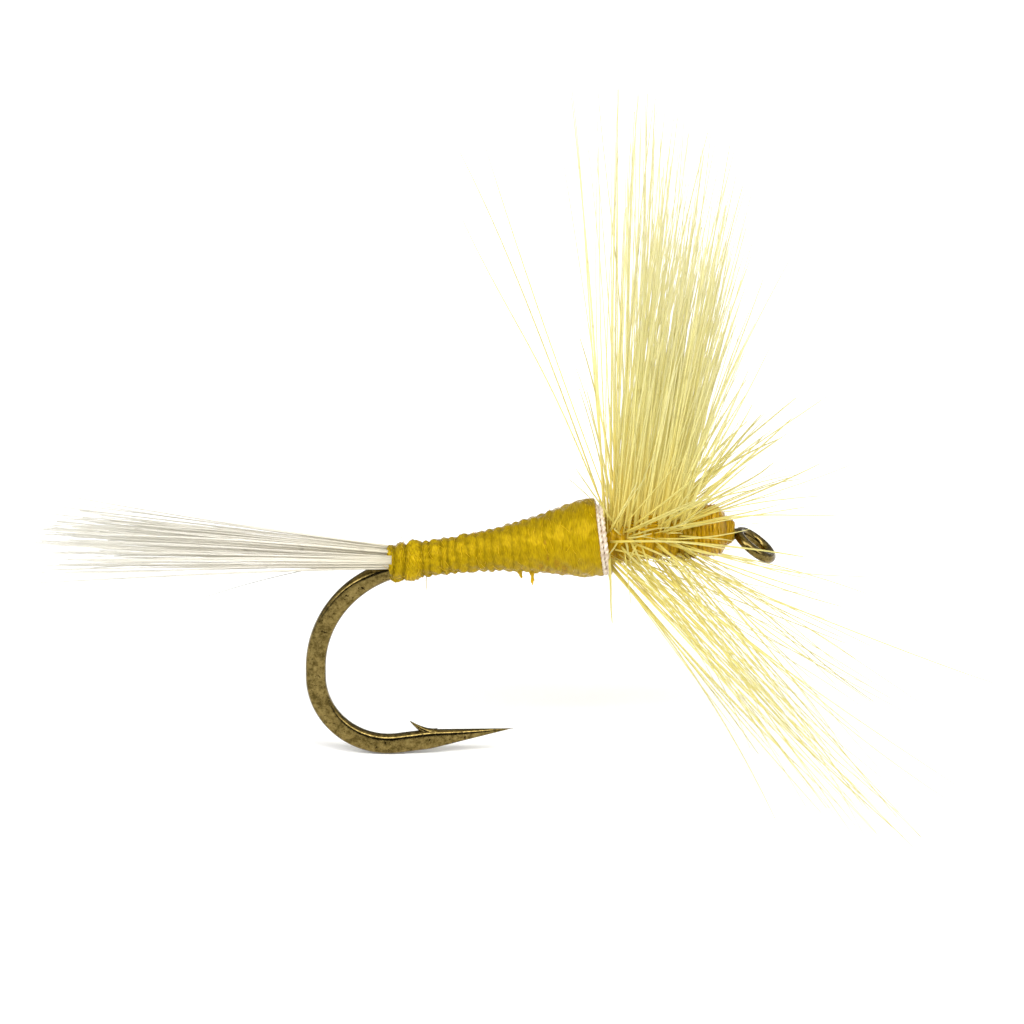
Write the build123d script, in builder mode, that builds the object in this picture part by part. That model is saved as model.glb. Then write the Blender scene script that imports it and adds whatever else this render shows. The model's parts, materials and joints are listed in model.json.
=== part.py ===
from build123d import *
from math import cos, pi, radians, sin
import os

# Dry fly with upright divided wings, a wound hackle, a floss body and a fibre tail, tied on a bronzed down-eye hook.
# Millimetres. The origin is the centre of the hook's eye. +X runs forward, out past the eye, +Z is up, and the fly
# stands as it does on a table: nose up a little, on the bottom of its bend and the tips of its hackle.

# ---- driving dimensions ----

# hook, about size 12
wire_d = 0.46
forged_w = 0.37            # the bend's thickness between its forged flats
shank_pitch = 6.0          # degrees, nose up
shank_len = 7.88
upper_bend_r = 2.62
heel_len = 0.23
lower_bend_r = 1.75
spear_pitch = 7.8          # degrees, point up
spear_len = 2.80
point_len = 2.05           # the ground, tapering end of the spear
point_d = 0.03
barb_len = 0.34            # how far the barb's tip stands back from its root
barb_base = 0.16           # half the length of the barb's root
barb_lift = 0.26
barb_w = 0.14
barb_s = 0.10              # from the start of the point to the barb's root
forge_fade = (0.45, 1.20)  # how far below the shank the flats begin, and where they are full
eye_ring_r = 0.48          # mean radius of the eye's ring
eye_wire_d = 0.24
eye_turn = 37.0            # degrees, how far the ring's plane points down
eye_bore_r = 0.375
eye_taper_len = 0.90       # where the shank thins towards the eye

# windings, by distance back along the shank from the eye's joint
base_t = 0.025             # thickness of the thread base
whip_s = (0.14, 0.27)
head_s = (0.27, 0.98)
thorax_s = (0.98, 3.32)
body_s = (3.32, 8.42)
lashing_len = 0.76
head_lift = 0.16           # how far the windings' axis stands above the shank's
body_lift = (0.25, 0.12)   # the same for the body, at its front and its back
head_r = 0.64
head_nose_r = 0.36         # the head's radius at its front end
head_waist = (0.22, 0.55)  # back from its front end, and the radius there
head_shoulder = 0.18       # from its widest place to its back end
whip_r = (0.33, 0.36)
cement_t = 0.035
thorax_r = 0.52
body_r = (0.90, 0.95, 0.86, 0.68, 0.52, 0.47, 0.45)   # from the front of the body to its lashing
body_stops = (0.0, 0.08, 0.22, 0.40, 0.58, 0.74, 1.0)
floss_t = 0.07
floss_pitch = 0.235
lashing_r = 0.48
lashing_groove = 0.05
bead_depth = 0.035         # how deep the groove is between two turns
stem_d = 0.13              # the hackle's quill
stem_pitch = 0.15
rear_stem_s = (2.86, 3.24)
front_stem_s = (1.08, 1.46)
stem_gap = 0.005           # clearance between the quill's coils and the thorax
stem_tag_len = 0.62

# fibres
fibre_w = 0.075            # width of a barb at its root
fibre_tip_w = 0.022
tail_len = 8.6
tail_count = 26
tail_columns = 9           # fibres side by side in each layer of the tail
tail_half_w = 0.47         # half the width of the tail's root
tail_layer = 0.11          # height from one layer to the next
tail_lift = 0.36
nib_len = 0.22
tag_len = 0.38
wing_len = 11.9
wing_rows = 4
wing_columns = 6
wing_splay = 11.0          # degrees, each wing's lean to its own side
barb_count = 26            # barbs on each set of hackle turns
barb_reach = (6.6, 10.2)   # length of a barb at the top of the fly, and underneath
barb_rake = 43.0           # degrees, how far the lower barbs lean forward


# ---- the shank's line and the places along it ----

pitch = radians(shank_pitch)
forward = Vector(cos(pitch), 0, sin(pitch))
upward = Vector(-sin(pitch), 0, cos(pitch))
sideways = Vector(0, 1, 0)
ring_run = Vector(cos(radians(eye_turn)), 0, -sin(radians(eye_turn)))
ring_normal = Vector(sin(radians(eye_turn)), 0, cos(radians(eye_turn)))
eye_joint = ring_run * -eye_ring_r
wire_r = wire_d / 2
base_r = wire_r + base_t


def along(s, lift=0.0, side=0.0):
    """The point s back along the shank from the eye's joint, lift above its axis and side to the left of it."""
    return eye_joint - forward * s + upward * lift + sideways * side


def long_section(s_start, lift_start, s_end, lift_end):
    """The upright plane through a winding's axis: local X runs back along the axis, local Y away from it."""
    start = along(s_start, lift_start)
    return Plane(origin=start, x_dir=along(s_end, lift_end) - start, z_dir=(0, 1, 0))


def axis_of(plane):
    return Axis(plane.origin, plane.x_dir)


def beads(start, end, count, depth):
    """The scalloped outline of count turns of thread side by side, from start to end, two points in a long section."""
    run = (end - start) / count
    groove = Vector(0, -depth)
    for turn in range(count):
        rear = start + run * turn
        ThreePointArc(rear + groove, rear + run * 0.5, rear + run + groove)


def fibre(root, tip, root_w=fibre_w, tip_w=fibre_tip_w):
    """One straight fibre, of square section and tapering, from root to tip."""
    run = tip - root
    butt = Plane(origin=root, z_dir=run)
    with BuildSketch(butt) as root_end:
        Rectangle(root_w, root_w)
    with BuildSketch(butt.offset(run.length)) as tip_end:
        Rectangle(tip_w, tip_w)
    loft(sections=[root_end.sketch.face(), tip_end.sketch.face()], ruled=True)


# ---- the hook's own line ----

bend_top = along(shank_len)
upper_centre = bend_top - upward * upper_bend_r
heel_top = upper_centre - Vector(upper_bend_r, 0, 0)
heel_low = heel_top - Vector(0, 0, heel_len)
lower_centre = heel_low + Vector(lower_bend_r, 0, 0)
spear_turn = radians(spear_pitch)
spear_run = Vector(cos(spear_turn), 0, sin(spear_turn))
spear_up = Vector(-sin(spear_turn), 0, cos(spear_turn))
spear_start = lower_centre - spear_up * lower_bend_r
point_start = spear_start + spear_run * (spear_len - point_len)
floor_z = lower_centre.Z - lower_bend_r - wire_r

upper_mid = upper_centre + Vector(-cos(pi / 4 - pitch / 2), 0, sin(pi / 4 - pitch / 2)) * upper_bend_r
lower_mid = lower_centre + Vector(-cos(pi / 4), 0, -sin(pi / 4)) * lower_bend_r

# The hook: one tempered wire. The shank thins into the ring eye, the bend is squeezed flat on both sides, the spear
# is ground to a point, and the barb is a sliver sliced from its top and lifted.
with BuildPart() as hook:
    with BuildLine():
        Line(along(eye_taper_len), bend_top)
        ThreePointArc(bend_top, upper_mid, heel_top)
        Line(heel_top, heel_low)
        ThreePointArc(heel_low, lower_mid, spear_start)
        Line(spear_start, point_start)
    with BuildSketch(Plane(origin=along(eye_taper_len), z_dir=-forward)):
        Circle(wire_r)
    sweep()
    with Locations(Plane(origin=point_start, z_dir=spear_run)):
        Cone(wire_r, point_d / 2, point_len, align=(Align.CENTER, Align.CENTER, Align.MIN))
    with Locations(Plane(origin=along(0), z_dir=-forward)):
        Cone(eye_wire_d / 2 - 0.012, wire_r, eye_taper_len, align=(Align.CENTER, Align.CENTER, Align.MIN))
    with Locations(Plane(origin=(0, 0, 0), x_dir=ring_run, z_dir=ring_normal)):
        Torus(eye_ring_r, eye_wire_d / 2)
    # the barb, a thin wedge that points back towards the bend
    barb_root = point_start + spear_run * barb_s + spear_up * wire_r * 0.55
    with BuildSketch(Plane(origin=barb_root, x_dir=spear_run, z_dir=(0, -1, 0))):
        with BuildLine():
            Polyline((barb_base, 0), (-barb_len, barb_lift), (-barb_base, 0), close=True)
        make_face()
    extrude(amount=barb_w / 2, both=True)
    # the forged flats, which fade out below the shank
    with BuildSketch(Plane(origin=(heel_top.X - 1, 0, 0), x_dir=(0, 1, 0), z_dir=(1, 0, 0))):
        for side in (1, -1):
            with BuildLine():
                Polyline(
                    (side * forged_w / 2, floor_z - 1),
                    (side * forged_w / 2, bend_top.Z - forge_fade[1]),
                    (side * wire_d / 2 * 1.1, bend_top.Z - forge_fade[0]),
                    (side * wire_d * 2, bend_top.Z - forge_fade[0]),
                    (side * wire_d * 2, floor_z - 1),
                    close=True,
                )
            make_face()
    extrude(amount=point_start.X + 0.45 - heel_top.X + 1, mode=Mode.SUBTRACT)
    # the round land inside the eye
    with Locations(Plane(origin=(0, 0, 0), z_dir=ring_normal)):
        Cylinder(eye_bore_r, 2 * eye_wire_d, mode=Mode.SUBTRACT)

# Thread base: a close sleeve of thread on the straight of the shank.
shank_section = long_section(0, 0, shank_len, 0)
with BuildPart() as thread_base:
    with BuildSketch(shank_section):
        with Locations(((eye_taper_len + shank_len) / 2, (wire_r + base_r) / 2)):
            Rectangle(shank_len - eye_taper_len, base_t)
    revolve(axis=axis_of(shank_section))

# ---- tail ----

tail_root_s = body_s[1]

# Tail butts: the flattened bunch of cut ends on top of the shank, inside the body.
with BuildPart() as tail_butts:
    with BuildSketch(Plane(origin=along(tail_root_s, tail_lift), x_dir=(0, 1, 0), z_dir=forward)):
        Ellipse(0.24, 0.10)
    with BuildSketch(Plane(origin=along(tail_root_s - 2.6, tail_lift), x_dir=(0, 1, 0), z_dir=forward)):
        Ellipse(0.16, 0.08)
    loft(ruled=True)

# Tail fibres: stiff hackle fibres that fan out a little, a long middle and shorter flanks.
with BuildPart() as tail_fibres:
    for n in range(tail_count):
        row, column = divmod(n, tail_columns)
        across = 2 * (column + 0.5 * (row % 2)) / tail_columns - 0.9
        butt_point = along(tail_root_s + 0.02, tail_lift + tail_layer * (row - 2), tail_half_w * across)
        length = tail_len * (0.90 + 0.10 * cos(2.4 * n))
        fan = Vector(-1, 0.15 * across, 0.05 * row - 0.04 + 0.02 * cos(1.7 * n))
        fibre(butt_point, butt_point + fan.normalized() * length)

# ---- body ----

body_section = long_section(body_s[0], body_lift[0], body_s[1], body_lift[1])
body_len = (along(body_s[1], body_lift[1]) - along(body_s[0], body_lift[0])).length
floss_len = body_len - lashing_len


def body_point(n, inset=0.0):
    """A corner of the body's outline in its long section, and inset towards its axis."""
    return Vector(body_stops[n] * floss_len, body_r[n] - inset)


# Wing butts: the cut ends of the wing fibres, bound back along the shank under the front of the body.
with BuildPart() as wing_butts:
    with BuildSketch(Plane(origin=along(2.5, base_r + 0.16), z_dir=-forward)):
        Circle(0.15)
    with BuildSketch(Plane(origin=along(4.9, base_r + 0.12), z_dir=-forward)):
        Circle(0.10)
    loft(ruled=True)

# Underbody: the tapering core that gives the body its shape, wound over the butts.
with BuildPart() as underbody:
    with BuildSketch(body_section):
        with BuildLine():
            Polyline(
                (0, 0),
                *[body_point(n, floss_t) for n in range(len(body_r))],
                (floss_len, 0),
                close=True,
            )
        make_face()
    revolve(axis=axis_of(body_section))
    add(thread_base.part, mode=Mode.SUBTRACT)
    add(hook.part, mode=Mode.SUBTRACT)
    add(tail_butts.part, mode=Mode.SUBTRACT)
    add(wing_butts.part, mode=Mode.SUBTRACT)

# Body floss: close turns of gold floss over the underbody, each turn a low bead.
with BuildPart() as body_floss:
    with BuildSketch(body_section):
        with BuildLine():
            for n in range(len(body_r) - 1):
                start, end = body_point(n), body_point(n + 1)
                beads(start, end, max(1, round((end - start).length / floss_pitch)), bead_depth)
            Line(body_point(-1) - Vector(0, bead_depth), body_point(-1, floss_t))
            Polyline(*[body_point(n, floss_t) for n in reversed(range(len(body_r)))])
            Line(body_point(0, floss_t), body_point(0) - Vector(0, bead_depth))
        make_face()
    revolve(axis=axis_of(body_section))

# Tail lashing: two fat turns over the root of the tail, each drawn flat on top.
lashing_turn = lashing_len / 2
with BuildPart() as tail_lashing:
    with BuildSketch(body_section):
        with BuildLine():
            Polyline(
                (floss_len, 0),
                (floss_len, lashing_r - lashing_groove),
                (floss_len + lashing_turn * 0.25, lashing_r),
                (floss_len + lashing_turn * 0.75, lashing_r),
                (floss_len + lashing_turn, lashing_r - lashing_groove),
                (floss_len + lashing_turn * 1.25, lashing_r),
                (floss_len + lashing_turn * 1.75, lashing_r),
                (body_len, lashing_r - lashing_groove),
                (body_len, 0),
                close=True,
            )
        make_face()
    revolve(axis=axis_of(body_section))
    add(hook.part, mode=Mode.SUBTRACT)
    add(thread_base.part, mode=Mode.SUBTRACT)
    add(tail_butts.part, mode=Mode.SUBTRACT)

# Floss nib and floss tag: the pointed end of the floss under the body, and a loose filament behind it.
with BuildPart() as floss_nib:
    nib_root = along(5.05, -0.46)
    fibre(nib_root, nib_root - upward * nib_len, 2 * fibre_w)

with BuildPart() as floss_tag:
    tag_root = along(7.60, -0.345)
    fibre(tag_root, tag_root - upward * tag_len, fibre_w / 2, fibre_tip_w / 2)

# ---- wings ----

wing_s = 2.20
wing_foot_lift = 0.62      # the fibres start inside the thorax, on top of the wing butts
wing_base_half = 0.42      # half the length of the wing's foot along the shank
wing_base_w = 0.42         # how far each wing's foot reaches to its side
wing_fan = 0.19            # how far the tips fan fore and aft, per millimetre of length


def wing(side):
    """One clump of wing fibres: rows across, columns along the shank, all fanning from a narrow foot."""
    for row in range(wing_rows):
        for column in range(wing_columns):
            fore = 2 * column / (wing_columns - 1) - 1
            out = (row + 0.5) / wing_rows
            stagger = 0.05 * (row % 2)
            foot = along(wing_s - wing_base_half * fore + stagger, wing_foot_lift, side * wing_base_w * out)
            lean = radians(wing_splay) * (0.3 + 1.1 * out)
            rise = wing_len * (0.98 - 0.17 * fore * fore - 0.12 * abs(sin(2.3 * row + 1.1 * column)))
            run = Vector(0.10 + wing_fan * fore, side * sin(lean), cos(lean)).normalized()
            fibre(foot, foot + run * rise)


with BuildPart() as wing_near:
    wing(-1)

with BuildPart() as wing_far:
    wing(1)

# Wing binding: the oval sleeve of thread turns round the foot of both wings.
wing_foot_plane = Plane(origin=along(wing_s, thorax_r + head_lift - 0.06), x_dir=forward, z_dir=upward)
with BuildPart() as wing_binding:
    with BuildSketch(wing_foot_plane):
        Ellipse(0.72, 0.66)
        Ellipse(0.62, 0.56, mode=Mode.SUBTRACT)
    extrude(amount=0.24)

# ---- thorax and hackle ----

thorax_section = long_section(thorax_s[0], head_lift, thorax_s[1], head_lift)
thorax_len = thorax_s[1] - thorax_s[0]

# Thorax thread: the turns between body and head, which also hold the feet of the wings.
with BuildPart() as thorax_thread:
    with BuildSketch(thorax_section):
        with BuildLine():
            thorax_front, thorax_back = Vector(0, thorax_r), Vector(thorax_len, thorax_r)
            beads(thorax_front, thorax_back, 12, bead_depth)
            Polyline(
                thorax_back - Vector(0, bead_depth),
                (thorax_len, 0),
                (0, 0),
                thorax_front - Vector(0, bead_depth),
            )
        make_face()
    revolve(axis=axis_of(thorax_section))
    add(hook.part, mode=Mode.SUBTRACT)
    add(thread_base.part, mode=Mode.SUBTRACT)
    add(wing_butts.part, mode=Mode.SUBTRACT)
    add(wing_binding.part, mode=Mode.SUBTRACT)
    add(wing_near.part, mode=Mode.SUBTRACT)
    add(wing_far.part, mode=Mode.SUBTRACT)

stem_coil_r = thorax_r + stem_d / 2 + stem_gap


def stem_turns(front_s, back_s):
    """The hackle's quill, wound as an open coil on the thorax between two places on the shank."""
    with BuildLine() as coil:
        Helix(stem_pitch, back_s - front_s, stem_coil_r, center=along(front_s, head_lift), direction=-forward)
    with BuildSketch(Plane(origin=coil.line @ 0, z_dir=coil.line % 0)) as quill:
        Circle(stem_d / 2)
    sweep(sections=quill.sketch.face(), path=coil.line, is_frenet=True)


# Hackle stem: the quill's turns behind the wings and in front of them.
with BuildPart() as hackle_stem_rear:
    stem_turns(*rear_stem_s)

with BuildPart() as hackle_stem_front:
    stem_turns(*front_stem_s)

barb_root_r = stem_coil_r + stem_d / 2 + 0.01


def hackle_barbs(middle_s, top_rake, first_turn):
    """Barbs all round a set of turns. Low ones lean forward and stop at the table; top ones lean by top_rake."""
    for n in range(barb_count):
        turn = 2 * pi * (n + first_turn) / barb_count
        low = (1 - cos(turn)) / 2
        rake = radians(top_rake + (barb_rake - top_rake) * min(1.0, 1.6 * low))
        radial = upward * cos(turn) + sideways * sin(turn)
        root = along(middle_s, head_lift) + radial * barb_root_r
        run = radial * cos(rake) + forward * sin(rake)
        reach = (barb_reach[0] + (barb_reach[1] - barb_reach[0]) * low) * (0.84 + 0.16 * abs(cos(1.3 * n)))
        if run.Z < 0:
            to_table = (root.Z - floor_z) / -run.Z
            reach = to_table if to_table < barb_reach[1] else reach
        fibre(root, root + run * reach)


# Hackle barbs: the stiff fibres that the quill carries, splayed round the thorax by the winding.
with BuildPart() as hackle_barbs_rear:
    hackle_barbs(sum(rear_stem_s) / 2, -16, 0.25)

with BuildPart() as hackle_barbs_front:
    hackle_barbs(sum(front_stem_s) / 2, 30, 0.75)

# Stem tag: the trimmed end of the quill, under the thorax.
with BuildPart() as stem_tag:
    stem_end = along(rear_stem_s[1] + 0.02, head_lift - barb_root_r - 0.01)
    fibre(stem_end, stem_end - upward * stem_tag_len, fibre_w, fibre_w * 0.7)

# ---- head ----

head_section = long_section(whip_s[0], head_lift, head_s[1], head_lift)
head_back = head_s[1] - whip_s[0]
head_front = head_s[0] - whip_s[0]
waist_s, waist_r = head_front + head_waist[0], head_waist[1]
shoulder_s = head_back - head_shoulder

# Head thread: the cone of thread turns behind the eye.
with BuildPart() as head_thread:
    with BuildSketch(head_section):
        with BuildLine():
            Polyline(
                (head_front, 0),
                (head_front, head_nose_r),
                (waist_s, waist_r),
                (shoulder_s, head_r),
                (head_back, thorax_r),
                (head_back, 0),
                close=True,
            )
        make_face()
    revolve(axis=axis_of(head_section))
    add(hook.part, mode=Mode.SUBTRACT)
    add(thread_base.part, mode=Mode.SUBTRACT)

# Whip finish: the narrow last turns at the eye, round the thin of the shank.
with BuildPart() as whip_finish:
    with BuildSketch(head_section):
        with BuildLine():
            whip_front, whip_back = Vector(0, whip_r[0]), Vector(head_front, whip_r[1])
            beads(whip_front, whip_back, 2, bead_depth)
            Polyline(
                whip_back - Vector(0, bead_depth),
                (head_front, 0),
                (0, 0),
                whip_front - Vector(0, bead_depth),
            )
        make_face()
    revolve(axis=axis_of(head_section))
    add(hook.part, mode=Mode.SUBTRACT)

# Head cement: the lacquer film over the cone.
with BuildPart() as head_cement:
    with BuildSketch(head_section):
        with BuildLine():
            Polyline(
                (head_front, head_nose_r),
                (waist_s, waist_r),
                (shoulder_s, head_r),
                (shoulder_s, head_r + cement_t),
                (waist_s, waist_r + cement_t),
                (head_front, head_nose_r + cement_t),
                close=True,
            )
        make_face()
    revolve(axis=axis_of(head_section))

# ---- files ----

pieces = {
    "hook": hook,
    "thread_base": thread_base,
    "tail_fibres": tail_fibres,
    "tail_butts": tail_butts,
    "tail_lashing": tail_lashing,
    "underbody": underbody,
    "body_floss": body_floss,
    "floss_nib": floss_nib,
    "floss_tag": floss_tag,
    "wing_near": wing_near,
    "wing_far": wing_far,
    "wing_butts": wing_butts,
    "wing_binding": wing_binding,
    "hackle_stem_rear": hackle_stem_rear,
    "hackle_stem_front": hackle_stem_front,
    "hackle_barbs_rear": hackle_barbs_rear,
    "hackle_barbs_front": hackle_barbs_front,
    "stem_tag": stem_tag,
    "thorax_thread": thorax_thread,
    "head_thread": head_thread,
    "whip_finish": whip_finish,
    "head_cement": head_cement,
}

os.makedirs("parts", exist_ok=True)
for name, piece in pieces.items():
    piece.part.label = name
    export_step(piece.part, f"parts/{name}.step")
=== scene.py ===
import json
import math

import bpy
import numpy as np
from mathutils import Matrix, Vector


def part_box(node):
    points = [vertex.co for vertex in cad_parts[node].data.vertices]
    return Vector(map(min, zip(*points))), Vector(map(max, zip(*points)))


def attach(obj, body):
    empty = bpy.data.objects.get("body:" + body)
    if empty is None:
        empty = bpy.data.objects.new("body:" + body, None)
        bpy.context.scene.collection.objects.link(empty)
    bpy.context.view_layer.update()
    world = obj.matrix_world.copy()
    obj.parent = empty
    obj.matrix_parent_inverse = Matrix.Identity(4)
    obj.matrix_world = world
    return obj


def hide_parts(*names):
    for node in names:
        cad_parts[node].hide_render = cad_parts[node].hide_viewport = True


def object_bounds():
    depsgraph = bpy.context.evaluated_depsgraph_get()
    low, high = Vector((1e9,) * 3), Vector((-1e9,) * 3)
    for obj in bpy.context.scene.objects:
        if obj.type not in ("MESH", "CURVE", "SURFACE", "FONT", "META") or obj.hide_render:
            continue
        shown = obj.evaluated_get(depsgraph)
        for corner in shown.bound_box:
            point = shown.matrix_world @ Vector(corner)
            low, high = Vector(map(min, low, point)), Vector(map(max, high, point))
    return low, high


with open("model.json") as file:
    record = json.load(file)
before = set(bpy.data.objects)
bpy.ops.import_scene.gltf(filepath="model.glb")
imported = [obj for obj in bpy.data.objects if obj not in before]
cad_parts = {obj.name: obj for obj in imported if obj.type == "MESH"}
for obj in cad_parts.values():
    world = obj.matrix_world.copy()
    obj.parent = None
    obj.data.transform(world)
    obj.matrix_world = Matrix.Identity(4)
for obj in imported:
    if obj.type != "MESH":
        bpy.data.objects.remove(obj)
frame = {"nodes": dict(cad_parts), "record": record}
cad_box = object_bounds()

# ---- studio ----
# A sheet of opal acrylic, lit faintly from below, inside a white light tent that is open towards the viewer.
# A bright strip light hangs over the opening, and the dark opening draws the black line beside the bright
# edge of the wire.

MM = 0.001
view_width = 24.58 * MM         # what the view spans at the fly, level with the table
camera_range = 0.25
camera_elevation = math.radians(20)
aim = np.array([-5.83, 0.0, 0.84]) * MM
sensor_width = 36               # in the camera's own millimetres
table_half = 0.9
strip_radiance = 6.0
tent_radiance = 0.82
opening_radiance = 0.02
back_wall_share = 0.45          # the tent's far wall is this much of its sides


def colour(hex_code):
    """An sRGB hex colour as linear RGBA: each channel c is ((c + 0.055) / 1.055) ** 2.4, or c / 12.92 when
    it is small."""
    srgb = [int(hex_code[k:k + 2], 16) / 255 for k in (1, 3, 5)]
    return [((c + 0.055) / 1.055) ** 2.4 if c > 0.04045 else c / 12.92 for c in srgb] + [1.0]


def add_node(tree, kind, links=(), **settings):
    """One shader node: settings are its attributes, or the values of its sockets by name, and links are
    (socket, source) pairs."""
    made = tree.nodes.new(kind)
    for key, value in settings.items():
        if hasattr(made, key):
            setattr(made, key, value)
        else:
            made.inputs[key.replace("_", " ")].default_value = value
    for socket, source in links:
        tree.links.new(made.inputs[socket], source)
    return made


def new_material(name, roughness, base=(1, 1, 1, 1), **settings):
    """A named material with a Principled shader, and that shader."""
    made = bpy.data.materials.new(name)
    made.use_nodes = True
    shader = made.node_tree.nodes["Principled BSDF"]
    shader.inputs["Roughness"].default_value = roughness
    shader.inputs["Base Color"].default_value = base
    for key, value in settings.items():
        shader.inputs[key.replace("_", " ")].default_value = value
    return made, shader


table_z = cad_box[0].z
table_mesh = bpy.data.meshes.new("table")
table_mesh.from_pydata(
    [(-table_half, -table_half, table_z), (table_half, -table_half, table_z),
     (table_half, table_half, table_z), (-table_half, table_half, table_z)], [], [(0, 1, 2, 3)])
table = bpy.data.objects.new("table", table_mesh)
bpy.context.scene.collection.objects.link(table)

# Opal acrylic: a matt near-white that glows a little, so that shadows on it stay faint.
opal, _ = new_material("opal_acrylic", 0.9, colour("#f4f4f3"), Specular_IOR_Level=0.1,
                       Emission_Color=colour("#ffffff"), Emission_Strength=0.12)
table_mesh.materials.append(opal)

world = bpy.data.worlds.new("light_tent")
world.use_nodes = True
tree = world.node_tree
seen = add_node(tree, "ShaderNodeTexCoord").outputs["Generated"]
ray = add_node(tree, "ShaderNodeSeparateXYZ", [(0, seen)])

# The tent's soft edges, each along one axis of the direction looked in, where Y is -1 past the viewer and 1
# beyond the fly, and Z is 1 overhead: the axis, where the edge starts and ends, and the value on either side.
tent_edges = {
    "opening_side": ("Y", -0.35, -0.60, 0.0, 1.0),
    "opening_top": ("Z", 0.68, 0.58, 0.0, 1.0),
    "back_wall": ("Y", 0.25, 0.60, 1.0, back_wall_share),
    "strip_front": ("Y", -0.76, -0.69, 0.0, 1.0),
    "strip_back": ("Y", -0.38, -0.46, 0.0, 1.0),
    "strip_foot": ("Z", 0.20, 0.40, 0.0, strip_radiance),
}
edge = {}
for name, (axis, start, end, before, past) in tent_edges.items():
    soft = add_node(tree, "ShaderNodeMapRange", [("Value", ray.outputs[axis])],
                    interpolation_type="SMOOTHSTEP", From_Min=start, From_Max=end, To_Min=before, To_Max=past)
    edge[name] = soft.outputs[0]
opening = add_node(tree, "ShaderNodeMath", [(0, edge["opening_side"]), (1, edge["opening_top"])],
                   operation="MULTIPLY")
tent = add_node(tree, "ShaderNodeMapRange", [("Value", opening.outputs[0])], To_Min=tent_radiance,
                To_Max=opening_radiance)
wall = add_node(tree, "ShaderNodeMath", [(0, tent.outputs[0]), (1, edge["back_wall"])], operation="MULTIPLY")
strip = add_node(tree, "ShaderNodeMath", [(0, edge["strip_front"]), (1, edge["strip_back"])],
                 operation="MULTIPLY")
lit = add_node(tree, "ShaderNodeMath",
               [(0, strip.outputs[0]), (1, edge["strip_foot"]), (2, wall.outputs[0])],
               operation="MULTIPLY_ADD")
tree.links.new(tree.nodes["Background"].inputs["Strength"], lit.outputs[0])
tree.nodes["Background"].inputs["Color"].default_value = (1, 1, 1, 1)
bpy.context.scene.world = world

camera_data = bpy.data.cameras.new("camera")
camera_data.sensor_width = sensor_width
camera_data.lens = sensor_width * camera_range / view_width
camera_data.clip_start = 0.01
camera_data.clip_end = 5
camera = bpy.data.objects.new("camera", camera_data)
bpy.context.scene.collection.objects.link(camera)
camera.location = (aim[0], aim[1] - camera_range * math.cos(camera_elevation),
                   aim[2] + camera_range * math.sin(camera_elevation))
camera.rotation_euler = (math.pi / 2 - camera_elevation, 0, 0)
bpy.context.scene.camera = camera
bpy.context.scene.view_settings.view_transform = "Standard"

# ---- hook ----
# One piece of tempered steel wire, lacquered bronze. The shank thins into the ring eye, the round bend is
# squeezed flat on both sides, the spear is ground to a needle point, and the barb is a sliver sliced up from
# its top.

wire_r = 0.23 * MM
wire_step = 0.07 * MM           # between the wire's rings of points, round the bend
unpressed = 1.6                 # half width over half height of a section that is left round
bend_h = 0.245 * MM             # half the wire's height where the bend is forged
bend_w = 0.185 * MM             # half its thickness between the forged flats
upper_bend_r = 2.62 * MM
lower_bend_r = 1.75 * MM
heel_len = 0.23 * MM            # from the end of one arc down to the start of the other
forging_start = 0.3 * MM        # past the end of the shank
forging_full = 1.8 * MM
spear_pitch = math.radians(7.8)
spear_len = 2.80 * MM
point_len = 2.05 * MM
needle_r = 0.008 * MM
eye_wire_r = 0.13 * MM
eye_ring_r = 0.48 * MM
eye_taper_len = 0.90 * MM
barb_len = 0.62 * MM
barb_from_point = 0.20 * MM     # past the start of the point's taper
barb_sink = 0.10 * MM           # its root above the wire's line, well inside the wire
barb_root_h = 0.145 * MM
barb_tip_h = 0.006 * MM


def unit(v):
    """v, or each row of v, at length 1."""
    v = np.asarray(v, float)
    return v / np.linalg.norm(v, axis=-1, keepdims=True)


def node_points(node):
    """The vertices of a CAD node, one row each."""
    mesh = frame["nodes"][node].data
    points = np.empty(len(mesh.vertices) * 3)
    mesh.vertices.foreach_get("co", points)
    return points.reshape(-1, 3)


def spindle(node):
    """The rear and front ends of a turned node's own axis: the line of its greatest or odd-one-out spread.

    The axis lies in the fly's upright middle plane, through the mean of the vertices, and the ends are the
    least and the greatest projection of the vertices on it."""
    points = node_points(node)
    middle = points.mean(0)
    middle[1] = 0
    spread, lines = np.linalg.eigh(np.cov((points - points.mean(0)).T))
    odd = 2 if spread[2] - spread[1] > spread[1] - spread[0] else 0
    line = lines[:, odd] * [1, 0, 1]
    line = unit(line * np.sign(line[0]))
    along = (points - middle) @ line
    return middle + line * along.min(), middle + line * along.max()


def piece_from(name, points, *face_sets):
    """A smooth mesh object from an array of points and arrays of faces, each of which has its own number of
    corners."""
    mesh = bpy.data.meshes.new(name)
    vertex_of = np.concatenate([f.ravel() for f in face_sets]).astype(np.int32)
    sizes = np.concatenate([np.full(len(f), f.shape[1]) for f in face_sets])
    starts = np.concatenate([[0], np.cumsum(sizes)[:-1]]).astype(np.int32)
    mesh.vertices.add(len(points))
    mesh.vertices.foreach_set("co", np.asarray(points, np.float32).ravel())
    mesh.loops.add(len(vertex_of))
    mesh.loops.foreach_set("vertex_index", vertex_of)
    mesh.polygons.add(len(sizes))
    mesh.polygons.foreach_set("loop_start", starts)
    mesh.polygons.foreach_set("use_smooth", np.full(len(sizes), True))
    mesh.update(calc_edges=True)
    made = bpy.data.objects.new(name, mesh)
    bpy.context.scene.collection.objects.link(made)
    return made


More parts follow.
